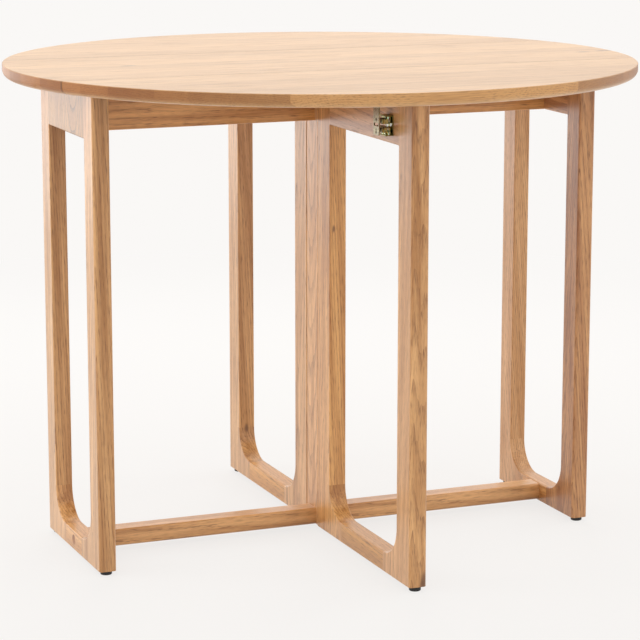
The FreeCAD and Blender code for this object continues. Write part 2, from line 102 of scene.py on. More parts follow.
def put(tree, kind, inputs=None, **settings):
    """Adds one node. inputs maps a socket's name or number to a value or to an output to link."""
    made = tree.nodes.new(kind)
    for key, value in settings.items():
        setattr(made, key, value)
    for key, value in (inputs or {}).items():
        if isinstance(value, bpy.types.NodeSocket):
            tree.links.new(value, made.inputs[key])
        else:
            made.inputs[key].default_value = value
    return made


print("mid grey", [round(c, 3) for c in linear("#808080")])


# %% [markdown]
# The studio is a pale floor in matt paint that runs on into a pale background. A curved backdrop could hide
# the horizon too, but seen from behind it would stand in front of the camera. Here the floor, far from the
# table, shows the background colour to the camera, so no horizon appears from any side. Near the table
# part of what the camera sees is the lit floor, which keeps a soft shadow.

# %% Floor
background = linear("#FAF8F6")
floor_colour = linear("#D2D0CD")
floor_reach = 40.0
shadow_share = 0.18
shadow_reach = (1.1, 2.6)


def seen_directly(tree):
    """1 for camera, glossy and transmission rays, 0 for the rays that light the object."""
    path = put(tree, "ShaderNodeLightPath").outputs
    either = put(tree, "ShaderNodeMath", {0: path["Is Camera Ray"], 1: path["Is Glossy Ray"]},
                 operation="MAXIMUM")
    return put(tree, "ShaderNodeMath", {0: either.outputs[0], 1: path["Is Transmission Ray"]},
               operation="MAXIMUM").outputs[0]


def make_floor():
    paint = bpy.data.materials.new("matt floor paint")
    tree = empty_tree(paint)
    place = put(tree, "ShaderNodeTexCoord")
    away = put(tree, "ShaderNodeVectorMath", {0: place.outputs["Object"]}, operation="LENGTH")
    plain = put(tree, "ShaderNodeMapRange", {"Value": away.outputs["Value"], "From Min": shadow_reach[0],
                                             "From Max": shadow_reach[1], "To Min": 1 - shadow_share,
                                             "To Max": 1.0}, interpolation_type="SMOOTHSTEP")
    amount = put(tree, "ShaderNodeMath", {0: plain.outputs["Result"], 1: seen_directly(tree)},
                 operation="MULTIPLY")
    lit = put(tree, "ShaderNodeBsdfDiffuse", {"Color": floor_colour})
    glow = put(tree, "ShaderNodeEmission", {"Color": background, "Strength": 1.0})
    mixed = put(tree, "ShaderNodeMixShader", {0: amount.outputs[0], 1: lit.outputs[0], 2: glow.outputs[0]})
    put(tree, "ShaderNodeOutputMaterial", {"Surface": mixed.outputs[0]})
    mesh = bpy.data.meshes.new("floor")
    corners = [(x * floor_reach, y * floor_reach, 0) for x, y in ((-1, -1), (1, -1), (1, 1), (-1, 1))]
    mesh.from_pydata(corners, [], [(0, 1, 2, 3)])
    mesh.materials.append(paint)
    floor = bpy.data.objects.new("floor", mesh)
    scene.collection.objects.link(floor)


make_floor()
print("floor", 2 * floor_reach, "m wide")


# %% [markdown]
# Furniture is photographed in a white room between large soft boxes, and area lamps over a plain world do
# the same here. Small lamps would draw hard shadows of the thin bars. Only camera, glossy and transmission
# rays see the background colour: the light that falls on the wood comes from the plain world and the six
# boxes. Four of the boxes are kept out of mirror reflections, or the oiled top would show them as hard
# bright patches.

# %% World and lights
ambient = 1.0


def make_world():
    world = bpy.data.worlds.new("studio")
    tree = empty_tree(world)
    light = put(tree, "ShaderNodeBackground", {"Color": linear("#FFFFFF"), "Strength": ambient})
    wall = put(tree, "ShaderNodeBackground", {"Color": background, "Strength": 1.0})
    mixed = put(tree, "ShaderNodeMixShader", {0: seen_directly(tree), 1: light.outputs[0],
                                              2: wall.outputs[0]})
    put(tree, "ShaderNodeOutputWorld", {"Surface": mixed.outputs[0]})
    scene.world = world


def make_soft_box(name, watts, place, aim, size, mirrored=True):
    data = bpy.data.lights.new(name, "AREA")
    data.shape = "RECTANGLE"
    data.size, data.size_y = size
    data.energy = watts
    lamp = bpy.data.objects.new(name, data)
    lamp.location = place
    lamp.rotation_euler = (Vector(aim) - Vector(place)).to_track_quat("-Z", "Y").to_euler()
    lamp.visible_camera = False
    lamp.visible_glossy = mirrored
    scene.collection.objects.link(lamp)


make_world()
make_soft_box("overhead_box", 4, (0.0, 0.2, 3.0), aim=(0, 0, 0.7), size=(2.6, 2.2))
make_soft_box("left_box", 38, (-3.0, 0.6, 1.4), aim=(0, 0, 0.4), size=(2.2, 1.8), mirrored=False)
make_soft_box("right_box", 26, (3.0, 0.4, 1.4), aim=(0, 0, 0.3), size=(2.2, 1.8), mirrored=False)
make_soft_box("shine_box", 12, (-1.3, 3.3, 0.7), aim=(-0.2, 0, 0.4), size=(2.4, 1.4))
make_soft_box("back_box", 56, (0.6, 3.0, 2.0), aim=(0, 0, 0.2), size=(2.4, 1.2), mirrored=False)
make_soft_box("fill_box", 13, (2.2, -3.0, 1.6), aim=(0, 0, 0.5), size=(1.6, 1.6), mirrored=False)
scene.view_settings.view_transform = "Standard"


# %% [markdown]
# Oak is a ring-porous wood: each year starts with a band of wide open pores, which reads as a dark dotted
# line, and ends in dense pale wood. The bands are circles round the pith, drawn out along the trunk, so this
# finish is solid. Every face shows its own cut of the same rings: straight lines where it runs with the
# radius, arches where it lies across it, arcs on the end grain. A texture painted on the faces couldn't
# agree at the edges. The first step is to find where a point of the piece lay in its trunk: a Mapping node
# turns the grain to X, puts the pith at zero and counts in millimetres.

# %% Place in the trunk
grain_turns = {"X": (0, 0, 0), "Y": (0, 0, -math.pi / 2), "Z": (0, math.pi / 2, 0)}


def trunk_place(tree, here, grain, pith, lean):
    """Where a point lay in its trunk. pith is a point on the trunk's middle line, in millimetres, and lean
    turns the trunk, in degrees."""
    turn = Euler(grain_turns[grain])
    turn.rotate(Euler((0, math.radians(lean[0]), math.radians(lean[1]))))
    away = -(turn.to_matrix() @ Vector(pith))
    return put(tree, "ShaderNodeMapping", {"Vector": here, "Location": away, "Rotation": turn,
                                           "Scale": (1 / mm, 1 / mm, 1 / mm)}).outputs[0]


print("grain along", sorted(grain_turns))


# %% [markdown]
# The top is glued up from long strips, each from a place of its own in a trunk, so tone and rings jump at
# every joint. A material for each strip would mean cutting up the board. A colour ramp with hard steps
# leaves it whole: for each strip it holds a tone in red, where the pith lies in green, and how warm the wood
# is in blue. Red and green are shifted by a half, so that they stay between 0 and 1. The pith of a warm strip
# lies a little farther back and lower. Strips also come from different lengths of the trunk, nine metres
# apart for each metre across the top. Where a post sweeps into its bottom rail, the bend is a glued corner
# block, and two planes give it other wood in the same way.

# %% Glued strips and blocks
ramp_shift = 0.5
pith_sway = 24.0
pith_drop = 25.0
strip_stagger = 9000.0
block_shift = (1700, 23, 31)


def glue_strips(tree, y, board, strips):
    """Gives each strip its own wood and tone. strips are rows of an edge in millimetres, a tone and a warmth,
    and the last row only ends the one before it."""
    low, high = strips[0][0], strips[-1][0]
    across = put(tree, "ShaderNodeMapRange", {"Value": y, "From Min": low * mm, "From Max": high * mm})
    steps = put(tree, "ShaderNodeValToRGB", {0: across.outputs[0]})
    ramp = steps.color_ramp
    ramp.interpolation = "CONSTANT"
    while len(ramp.elements) < len(strips) - 1:
        ramp.elements.new(1.0)
    for element, (edge, tone, warm), after in zip(ramp.elements, strips, strips[1:]):
        pith_y = (edge + after[0]) / 2 + pith_sway * (warm - 0.5)
        element.position = (edge - low) / (high - low)
        element.color = (tone - ramp_shift, pith_y * mm + ramp_shift, warm, 1.0)
    own = steps.outputs["Color"]
    pick = put(tree, "ShaderNodeSeparateColor", {0: own}).outputs
    centred = put(tree, "ShaderNodeVectorMath", {0: own, 1: (0, -1 / mm, pith_drop), 2: board},
                  operation="MULTIPLY_ADD")
    along = put(tree, "ShaderNodeMath", {0: pick["Green"], 1: strip_stagger}, operation="MULTIPLY")
    slide = put(tree, "ShaderNodeCombineXYZ", {0: along.outputs[0], 1: ramp_shift / mm})
    board = put(tree, "ShaderNodeVectorMath", {0: centred.outputs[0], 1: slide.outputs[0]}, operation="ADD")
    tone = put(tree, "ShaderNodeMath", {0: pick["Red"], 1: ramp_shift}, operation="ADD")
    return board.outputs[0], tone.outputs[0], pick["Blue"]


def glue_block(tree, spot, board, tone, bend):
    """Gives the foot of a post other wood. bend is the way to the bend along Y, the plane where it starts,
    the height where it ends, and its tone."""
    way, plane, top, block_tone = bend
    past = put(tree, "ShaderNodeMath", {0: spot["Y"], 1: way}, operation="MULTIPLY")
    inside = put(tree, "ShaderNodeMath", {0: past.outputs[0], 1: way * plane * mm}, operation="GREATER_THAN")
    below = put(tree, "ShaderNodeMath", {0: spot["Z"], 1: top * mm}, operation="LESS_THAN")
    both = put(tree, "ShaderNodeMath", {0: inside.outputs[0], 1: below.outputs[0]}, operation="MULTIPLY")
    mask = both.outputs[0]
    board = put(tree, "ShaderNodeVectorMath", {0: mask, 1: block_shift, 2: board}, operation="MULTIPLY_ADD")
    tone = put(tree, "ShaderNodeMix", {0: mask, 2: tone, 3: block_tone})
    return board.outputs[0], tone.outputs[0], mask


print("strips are", strip_stagger * mm, "m apart along the trunk for each metre across")


# %% [markdown]
# The figure has three layers, each drawn out along the grain. A Wave texture in rings, with a saw-tooth
# profile, gives the sharp start and soft end of a ring line. Noise bands make the wood warmer in places and
# let the ring lines come and go. Fine noise gives the pores, which crowd together in the ring lines. Noise
# gathers round a half, so each layer uses only a middle range of it. Real rings are 1 to 3 mm apart and
# pores 0.3 mm wide. Both are drawn coarser, or they wouldn't show.

# %% Rings, bands and pores
line_width = 2.2
band_width = 13.0
pore_width = 1.2
# A Wave texture of scale 1 repeats at this distance
wave_repeat = math.pi / 10
ring_draw = (0.06, 1, 1)
band_draw = (0.025, 1, 1)
warm_range = (0.36, 0.64)
line_range = (0.36, 0.66)
pore_range = (0.48, 0.68)
pores_between_lines = 0.26
pores_in_lines = 0.72
strip_share = 0.5


def oak_figure(tree, board, colours, strip_warmth=None, ring=4.5, line_strength=0.6, faintest=0.0, wander=8.0,
               pore_run=16.0):
    """The wood's colour, and how open its pores are. ring is the distance between rings and pore_run the
    length of a pore, in millimetres. faintest is the share of its strength that a ring line keeps where it
    fades, and wander how far the rings leave a true circle."""
    pale, tan, line, pore = [linear(colour) for colour in colours]
    drawn = put(tree, "ShaderNodeVectorMath", {0: board, 1: ring_draw}, operation="MULTIPLY")
    rings = put(tree, "ShaderNodeTexWave", {"Vector": drawn.outputs[0], "Scale": wave_repeat / ring,
                                            "Distortion": wander, "Detail": 3.0, "Detail Scale": 0.5,
                                            "Detail Roughness": 0.6},
                wave_type="RINGS", rings_direction="X", wave_profile="SAW")
    early = put(tree, "ShaderNodeMapRange", {"Value": rings.outputs["Fac"], "From Min": 0.0,
                                             "From Max": line_width / ring, "To Min": 1.0, "To Max": 0.0},
                interpolation_type="SMOOTHSTEP").outputs[0]

    long_bands = put(tree, "ShaderNodeVectorMath", {0: board, 1: band_draw}, operation="MULTIPLY")
    bands = put(tree, "ShaderNodeTexNoise", {"Vector": long_bands.outputs[0], "Scale": 1 / band_width,
                                             "Detail": 4.0, "Roughness": 0.6})
    warmth = put(tree, "ShaderNodeMapRange", {"Value": bands.outputs["Fac"], "From Min": warm_range[0],
                                              "From Max": warm_range[1]}).outputs[0]
    if strip_warmth is not None:
        warmth = put(tree, "ShaderNodeMix", {0: strip_share, 2: warmth, 3: strip_warmth}).outputs[0]
    body = put(tree, "ShaderNodeMix", {0: warmth, 6: pale, 7: tan}, data_type="RGBA").outputs[2]
    presence = put(tree, "ShaderNodeSeparateColor", {0: bands.outputs["Color"]})
    strength = put(tree, "ShaderNodeMapRange", {"Value": presence.outputs["Green"],
                                                "From Min": line_range[0], "From Max": line_range[1],
                                                "To Min": faintest * line_strength,
                                                "To Max": line_strength})
    ringed = put(tree, "ShaderNodeMath", {0: early, 1: strength.outputs[0]}, operation="MULTIPLY")
    lined = put(tree, "ShaderNodeMix", {0: ringed.outputs[0], 6: body, 7: line}, data_type="RGBA").outputs[2]

    stretched = put(tree, "ShaderNodeVectorMath", {0: board, 1: (pore_width / pore_run, 1, 1)},
                    operation="MULTIPLY")
    vessels = put(tree, "ShaderNodeTexNoise", {"Vector": stretched.outputs[0], "Scale": 1 / pore_width,
                                               "Detail": 1.0, "Roughness": 0.5})
    opened = put(tree, "ShaderNodeMapRange", {"Value": vessels.outputs["Fac"], "From Min": pore_range[0],
                                              "From Max": pore_range[1]})
    crowd = put(tree, "ShaderNodeMapRange", {"Value": early, "To Min": pores_between_lines,
                                             "To Max": pores_in_lines})
    pores = put(tree, "ShaderNodeMath", {0: opened.outputs[0], 1: crowd.outputs[0]},
                operation="MULTIPLY").outputs[0]
    colour = put(tree, "ShaderNodeMix", {0: pores, 6: lined, 7: pore}, data_type="RGBA").outputs[2]
    return colour, pores


print("ring lines", line_width, "mm wide, pores", pore_width, "mm")


# %% [markdown]
# A knot is the foot of a branch: a small dark spot, longer along the grain, that fades into the wood round
# it. End grain drinks more oil than the sides of a board, so it comes out darker. It is found by how squarely
# a face looks along the grain. A corner block is left out of that, because no end grain shows on the bend.
# The rim of the top gets painted shade: faces that aren't level are darker than the flat of it, and each
# strip takes a depth of its own there.

# %% Knots, end grain and rim
knot_colour = linear("#6B4425")
knot_draw = 0.45
knot_fade = (0.3, 1.8)
knot_strength = 0.8
end_range = (0.35, 0.85)
end_strength = 0.95
# Painted shade on the rim: the colours that darken faces that aren't level, on pale and on warm strips
rim_shade_faint = linear("#F2E7D4")
rim_shade_deep = linear("#DECFB6")
rim_shade_range = (0.2, 0.9)
grain_axes = {"X": (1, 0, 0), "Y": (0, 1, 0), "Z": (0, 0, 1)}


def darken_knots(tree, here, grain, colour, knots):
    """The colour with its knots, which are points and sizes in millimetres."""
    for point, size in knots:
        stretch = [knot_draw / size if axis == grain else 1 / size for axis in "XYZ"]
        near = put(tree, "ShaderNodeVectorMath", {0: here, 1: [s / mm for s in stretch],
                                                  2: [-p * s for p, s in zip(point, stretch)]},
                   operation="MULTIPLY_ADD")
        reach = put(tree, "ShaderNodeVectorMath", {0: near.outputs[0]}, operation="LENGTH")
        dark = put(tree, "ShaderNodeMapRange", {"Value": reach.outputs["Value"], "From Min": knot_fade[0],
                                                "From Max": knot_fade[1], "To Min": knot_strength,
                                                "To Max": 0.0}, interpolation_type="SMOOTHERSTEP")
        colour = put(tree, "ShaderNodeMix", {0: dark.outputs[0], 6: colour, 7: knot_colour},
                     data_type="RGBA").outputs[2]
    return colour


def end_grain(tree, normal, grain, block_mask):
    """Near 1 on faces that look along the grain, and 0 on the sides of a board and on a corner block."""
    facing = put(tree, "ShaderNodeVectorMath", {0: normal, 1: grain_axes[grain]}, operation="DOT_PRODUCT")
    square = put(tree, "ShaderNodeMath", {0: facing.outputs["Value"]}, operation="ABSOLUTE")
    end = put(tree, "ShaderNodeMapRange", {"Value": square.outputs[0], "From Min": end_range[0],
                                           "From Max": end_range[1], "To Min": 0.0, "To Max": end_strength})
    if block_mask is not None:
        spared = put(tree, "ShaderNodeMath", {0: 1.0, 1: block_mask}, operation="SUBTRACT")
        end = put(tree, "ShaderNodeMath", {0: end.outputs[0], 1: spared.outputs[0]}, operation="MULTIPLY")
    return end.outputs[0]


def shade_rim(tree, normal, colour, strip_warmth):
    """The colour with painted shade, deeper where the face isn't level."""
    upward = put(tree, "ShaderNodeSeparateXYZ", {0: normal})
    level = put(tree, "ShaderNodeMath", {0: upward.outputs["Z"]}, operation="ABSOLUTE")
    turned = put(tree, "ShaderNodeMapRange", {"Value": level.outputs[0], "From Min": rim_shade_range[0],
                                              "From Max": rim_shade_range[1], "To Min": 1.0, "To Max": 0.0})
    depth = put(tree, "ShaderNodeMix", {0: strip_warmth, 6: rim_shade_faint, 7: rim_shade_deep}, data_type="RGBA")
    return put(tree, "ShaderNodeMix", {0: turned.outputs[0], 6: colour, 7: depth.outputs[2]},
               data_type="RGBA", blend_type="MULTIPLY").outputs[2]


print("a knot is", round(1 / knot_draw, 1), "times as long as wide")


# %% [markdown]
# Oak differs from tree to tree, and a table is glued from many. One colour for all would make it look cast
# in one piece. Six colour sets cover this one: the top, and plain, golden, reddish, light and amber bars.
# Each set holds the late wood, the warmer bands, the ring lines and the pores.

# %% Colours of oak
palettes = {
    "top": ("#D7AA74", "#C8965E", "#B2804B", "#8C6338"),
    "plain": ("#DDAA72", "#AD7742", "#8A5629", "#6C401B"),
    "golden": ("#E4AC6A", "#B67B3F", "#925827", "#74401C"),
    "reddish": ("#D59F6A", "#A46B3F", "#834F28", "#643A1A"),
    "light": ("#E0B07C", "#C69059", "#94602F", "#7E5228"),
    "amber": ("#DEA050", "#BC7E38", "#7C4C22", "#6C401B"),
}
print("colour sets", sorted(palettes))


# %% [markdown]
# Now the layers come together. The wood is oiled, so it has a satin surface under a thin film: a Principled
# shader with a coat, and some sheen for the pale bloom that fine open grain shows at a low angle. Lacquer
# would be a full, smooth coat. Pores are duller than the wood between them and lie a little lower. End grain
# soaks the oil up, so it is duller and has less of the film.

# %% Oiled oak
oak_bloom = linear("#F9E9D4")
wood_rough = 0.3
pore_rough = 0.48
end_rough = 0.5
side_film = 0.35
end_film = 0.2
pore_depth = 0.25


def oak(name, grain, pith, lean, palette, strips=None, bend=None, knots=(), tone=1.0, sheen=0.3,
        end_shade="#DDBFA2", **figure):
    """Oiled oak with its grain along an axis. strips are those of the top, bend the corner block of a post,
    and knots points and sizes. tone makes a bar darker or lighter, and the top takes its strips' tones."""
    wood = bpy.data.materials.new(name)
    tree = empty_tree(wood)
    place = put(tree, "ShaderNodeTexCoord").outputs
    spot = put(tree, "ShaderNodeSeparateXYZ", {0: place["Object"]}).outputs
    board = trunk_place(tree, place["Object"], grain, pith, lean)
    strip_warmth = None
    block_mask = None
    if strips:
        board, tone, strip_warmth = glue_strips(tree, spot["Y"], board, strips)
    if bend:
        board, tone, block_mask = glue_block(tree, spot, board, tone, bend)
    colour, pores = oak_figure(tree, board, palettes[palette], strip_warmth, **figure)
    colour = darken_knots(tree, place["Object"], grain, colour, knots)
    toned = put(tree, "ShaderNodeHueSaturation", {"Color": colour, "Value": tone})
    end = end_grain(tree, place["Normal"], grain, block_mask)
    colour = put(tree, "ShaderNodeMix", {0: end, 6: toned.outputs[0], 7: linear(end_shade)},
                 data_type="RGBA", blend_type="MULTIPLY").outputs[2]
    # Painted shade on the rim of the top
    if strips:
        colour = shade_rim(tree, place["Normal"], colour, strip_warmth)

    satin = put(tree, "ShaderNodeMapRange", {"Value": pores, "To Min": wood_rough, "To Max": pore_rough})
    rough = put(tree, "ShaderNodeMix", {0: end, 2: satin.outputs[0], 3: end_rough})
    oil = put(tree, "ShaderNodeMapRange", {"Value": end, "To Min": side_film, "To Max": end_film})
    dips = put(tree, "ShaderNodeMath", {0: pores, 1: -1.0}, operation="MULTIPLY")
    bump = put(tree, "ShaderNodeBump", {"Height": dips.outputs[0], "Strength": 0.4,
                                        "Distance": pore_depth * mm})
    shader = put(tree, "ShaderNodeBsdfPrincipled", {"Base Color": colour, "Roughness": rough.outputs[0],
                                                    "IOR": 1.5, "Normal": bump.outputs[0],
                                                    "Sheen Weight": sheen, "Sheen Roughness": 0.35,
                                                    "Sheen Tint": oak_bloom,
                                                    "Coat Weight": oil.outputs[0], "Coat Roughness": 0.3})
    put(tree, "ShaderNodeOutputMaterial", {"Surface": shader.outputs[0]})
    return wood


print("roughness from", wood_rough, "to", end_rough)


# %% [markdown]
# The top is a fixed middle board with a hinged leaf on each side. One list of strips goes across all three,
# from the front rim to the back one, because three lists could leave a gap or overlap at the seams. Along
# each seam a narrow dark strip is painted shade for the gap between the boards, and it darkens the edges
# beside the gap too. Rings are closer here than in the bars, and pores longer, as on the real boards. The
# imported boards keep their shape and only get a new material.

# %% Oak of the top
top_level = 762
seam = 163.5
# Half the width of the painted shade along each seam
seam_shade_reach = 0.9
# The rows of tone 0.72 are the painted shade along the seams
strips = [
    (-499, 1.06, 0.1), (-447, 0.96, 0.9), (-362, 1.0, 0.6), (-322, 0.98, 0.9), (-256, 1.03, 0.2),
    (-206, 1.05, 0.0), (-seam - seam_shade_reach, 0.72, 1.0), (-seam + seam_shade_reach, 1.0, 0.7),
    (-108, 1.04, 0.1), (-36, 0.99, 0.8), (22, 1.05, 0.0), (96, 1.0, 0.6),
    (seam - seam_shade_reach, 0.72, 1.0), (seam + seam_shade_reach, 0.97, 0.9), (228, 1.02, 0.2),
    (306, 0.98, 0.7), (371, 1.0, 0.3), (440, 0.97, 0.8), (499, 1.0, 0.5),
]


def finish_node(node, material):
    """Gives a CAD piece its material in place of the plain one."""
    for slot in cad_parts[node].material_slots:
        slot.material = material


board_knots = [((-312, 14, top_level), 5.0), ((442, -46, top_level), 5.0), ((482, -40, top_level), 6.0)]
for node, pith_height, knots in (("centre_board", 640.0, board_knots), ("front_leaf", 655.0, ()),
                                 ("rear_leaf", 630.0, ())):
    wood = oak("oiled oak " + node, "X", (0, 0, pith_height), (0.6, 0.5), "top", strips=strips, knots=knots,
               sheen=0.12, end_shade="#CCB092", ring=3.2, line_strength=0.65, pore_run=45.0)
    finish_node(node, wood)
print("strips", len(strips) - 1)


# %% [markdown]
# The frames, gates and spine are solid bars. Posts have upright grain, rails and beams run lengthwise. One
# material for all would repeat its figure from bar to bar, so each bar has its own pith beside it, mostly
# out along X: the narrow faces then show straight lines and the broad ones arches. A corner block keeps a
# tone of its own.

# %% Oak of the posts
sweep_radius = 50.0
bottom_rail_height = 30.0
block_bite = 8.0
frame_post = 45.0
gate_post = 51.0
usual_bend_tone = 0.99


def dress_bar(node, grain, pith_away, lean, palette, **more):
    """Gives a bar its oak. pith_away is how far the pith lies from the bar's middle, in millimetres."""
    low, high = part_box(node)
    pith = (low + high) / 2 / mm + Vector(pith_away)
    finish_node(node, oak("oiled oak " + node, grain, pith, lean, palette, **more))


arched = {"ring": 3.4, "line_strength": 0.5, "faintest": 0.3, "wander": 7.0}
# Each row is the way to the bend along Y, the width, how far away the pith lies along X and Y, the lean, the
# colour set, the tone and the figure
posts = {
    "left_front_post": (1, frame_post, (70.0, 8.0), (1.6, 0.5), "plain", 0.97, {}),
    "left_rear_post": (-1, frame_post, (-85.0, -8.0), (1.8, -0.5), "plain", 0.93, {}),
    "right_front_post": (1, frame_post, (40.0, 8.0), (4.0, 0.5), "reddish", 0.96, arched),
    "right_rear_post": (-1, frame_post, (38.0, -8.0), (4.6, -0.5), "light", 0.93, arched),
    "front_gate_outer_post": (1, gate_post, (3.0, 4.0), (0.8, 2.4), "plain", 1.03, arched),
    "front_gate_inner_post": (-1, gate_post, (-95.0, -8.0), (2.6, -0.5), "golden", 0.98, {}),
    "rear_gate_outer_post": (-1, gate_post, (-70.0, -8.0), (2.8, -0.5), "plain", 0.92, {}),
    "rear_gate_inner_post": (1, gate_post, (110.0, 8.0), (2.2, 0.5), "plain", 0.97, {}),
}
bend_tones = {"left_rear_post": 1.12, "front_gate_inner_post": 0.94}
post_knots = {
    "front_gate_inner_post": [((-7, -75, 503), 2.2)],
    "rear_gate_outer_post": [((-1, 340, 87), 3.0)],
    "front_gate_outer_post": [((10, -391, 18), 5.0), ((7, -391, 9), 4.0)],
}
for node, (inward, width, pith_away, lean, palette, tone, figure) in posts.items():
    low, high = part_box(node)
    outer = (low.y if inward > 0 else high.y) / mm
    bend_start = outer + inward * (width - block_bite)
    bend_high = low.z / mm + bottom_rail_height + sweep_radius
    bend_tone = tone * bend_tones.get(node, usual_bend_tone)
    dress_bar(node, "Z", (*pith_away, 0), lean, palette, bend=(inward, bend_start, bend_high, bend_tone),
              knots=post_knots.get(node, ()), tone=tone, **figure)
dress_bar("centre_post", "Z", (40.0, 3.0, 0), (3.4, 0.3), "plain", tone=1.12, ring=4.0, faintest=0.5,
          wander=5.0)
print("posts", len(posts) + 1)


# %% [markdown]
# Rails, aprons and stretchers need less: they are straight, so a pith, a lean and a colour set are enough.
# The left top rail is the odd one out, with bold rings that stand upright on its outer face. It is darker
# than the other bars, partly its own darker wood and partly painted shade under the overhang of the top.
# The bottom rails get less sheen, because their tops catch the light at a low angle and would look dusty.
# The plugs in the bottom rails are a darker oak.

# %% Oak of the rails
# tone 0.6 is partly painted shade under the overhang of the top
dress_bar("left_top_rail", "Z", (30.0, -38.0, 0.0), (12.0, 3.0), "amber", tone=0.6, sheen=0.05, ring=7.0,
          line_strength=0.9, faintest=0.7, wander=4.0)
for node in ("right_top_rail", "front_gate_top_rail", "rear_gate_top_rail"):
    dress_bar(node, "Y", (45.0, 10.0, 20.0), (2.0, 1.5), "reddish")
for node, palette, tone in (("left_bottom_rail", "golden", 0.97), ("right_bottom_rail", "golden", 0.95),
                            ("front_gate_bottom_rail", "amber", 0.84),
                            ("rear_gate_bottom_rail", "amber", 0.92)):
    dress_bar(node, "Y", (35.0, 0, 40.0), (1.4, 0.9), palette, tone=tone, sheen=0.12)
for side in ("left", "right"):
    for piece, palette in (("apron", "golden"), ("stretcher", "plain")):
        dress_bar(side + "_" + piece, "X", (0, 70.0, 25.0), (0.9, 1.2), palette, tone=1.06,
                  line_strength=0.4)
dress_bar("stretcher_plugs", "X", (0, 20.0, 30.0), (0, 0), "reddish", tone=0.8)
print("oak pieces", len([m for m in bpy.data.materials if m.name.startswith("oiled oak")]))


# %% [markdown]
# The hardware is steel with different platings. Bright zinc on hinges, bolts and screws is a cool, slightly
# cloudy grey. The catches have yellow chromate over the zinc: a thin film that shifts from gold to green and
# brown over a few millimetres. A flat gold would look like paint, so noise picks from a ramp of those
# colours, in patches that are drawn out upright. On the jaws the ramp also holds near-black and near-white,
# and the upright patches are painted reflections and highlights of their bends as well as film. The frames
# are duller and darker, as painted shade inside the catch, and the strikes a paler, greyer film, kept darker
# than bright metal as a painted dark reflection. Fine scuffs break up the gloss. Real ones are hair-thin, and
# are drawn as specks of 0.8 mm so that they show.

# %% Plated steel
film_spread = (0.32, 0.68)
scuff_size = 0.8
scuff_depth = 0.05
scuff_smooth = 0.08
scuff_rough = 0.1


def plated(name, colours, patch, roughness, drawn=1.0):
    """Plated steel: a metal whose film drifts between some colours. patch is the width of a patch of colour,
    in millimetres, and drawn how many times taller than wide it is."""
    metal = bpy.data.materials.new(name)
    tree = empty_tree(metal)
    here = put(tree, "ShaderNodeTexCoord").outputs["Object"]
    # Patches drawn upright paint upright streaks: on the catch jaws they stand for the highlights of the
    # bends
    upright = put(tree, "ShaderNodeVectorMath", {0: here, 1: (1, 1, 1 / drawn)}, operation="MULTIPLY")
    cloud = put(tree, "ShaderNodeTexNoise", {"Vector": upright.outputs[0], "Scale": 1 / (patch * mm),
                                             "Detail": 2.0, "Distortion": 0.6})
    film = put(tree, "ShaderNodeValToRGB", {0: cloud.outputs["Fac"]})
    ramp = film.color_ramp
    first, last = film_spread
    ramp.elements[0].position = first
    ramp.elements[0].color = linear(colours[0])
    ramp.elements[1].position = last
    ramp.elements[1].color = linear(colours[-1])
    for index, colour in enumerate(colours[1:-1], 1):
        ramp.elements.new(first + (last - first) * index / (len(colours) - 1)).color = linear(colour)
    scuffs = put(tree, "ShaderNodeTexNoise", {"Vector": here, "Scale": 1 / (scuff_size * mm), "Detail": 1.0})
    rough = put(tree, "ShaderNodeMapRange", {"Value": scuffs.outputs["Fac"],
                                             "To Min": roughness - scuff_smooth,
                                             "To Max": roughness + scuff_rough})
    bump = put(tree, "ShaderNodeBump", {"Height": scuffs.outputs["Fac"], "Strength": 0.15,
                                        "Distance": scuff_depth * mm})
    shader = put(tree, "ShaderNodeBsdfPrincipled", {"Base Color": film.outputs[0], "Metallic": 1.0,
                                                    "Roughness": rough.outputs[0],
                                                    "Normal": bump.outputs[0]})
    put(tree, "ShaderNodeOutputMaterial", {"Surface": shader.outputs[0]})
    return metal


zinc = plated("bright zinc plated steel", ["#B9BBBC", "#CDCDCB"], 5.0, 0.3)
hinge_zinc = plated("zinc plated hinge steel", ["#A9A69F", "#C2BFB8"], 8.0, 0.34)
# Film colours with near-black and near-white, which paint reflections and highlights on the jaws
jaw_film_with_highlights = ["#2A220A", "#84803A", "#E2D892", "#4C7A4C", "#D4E0D4", "#7C5A3E"]
chromate = plated("yellow chromate steel", jaw_film_with_highlights, 2.6, 0.2, drawn=6.0)
# Darker film on the frames, as painted shade inside the catch
frame_film_with_shade = ["#3A3212", "#7A7236", "#A99C58", "#4E6648", "#6E5438"]
frame_chromate_with_shade = plated("yellow chromate steel frame with painted shade", frame_film_with_shade, 3.0, 0.3, drawn=4.0)
# Greyer film on the strikes, kept dark as a painted dark reflection
strike_film_with_dark_reflection = ["#4E463A", "#A89A84", "#7E7A58", "#C2B698"]
strike_chromate_with_dark_reflection = plated("chromate steel strike with painted dark reflection", strike_film_with_dark_reflection, 3.0, 0.28, drawn=2.0)
for node in ("leaf_hinge_fixed_plates", "front_leaf_hinge_plates", "rear_leaf_hinge_plates",
             "leaf_hinge_pins", "gate_hinge_fixed_plates", "front_gate_hinge_plates",
             "rear_gate_hinge_plates", "gate_hinge_pins"):
    finish_node(node, hinge_zinc)
for side in ("front", "rear"):
    finish_node(side + "_catch_jaws", chromate)
    finish_node(side + "_catch_roller_pins", chromate)
    finish_node(side + "_catch_frame", frame_chromate_with_shade)
    finish_node(side + "_strike", strike_chromate_with_dark_reflection)
finish_node("stretcher_bolts", zinc)
print("platings", [m.name for m in bpy.data.materials if "steel" in m.name])


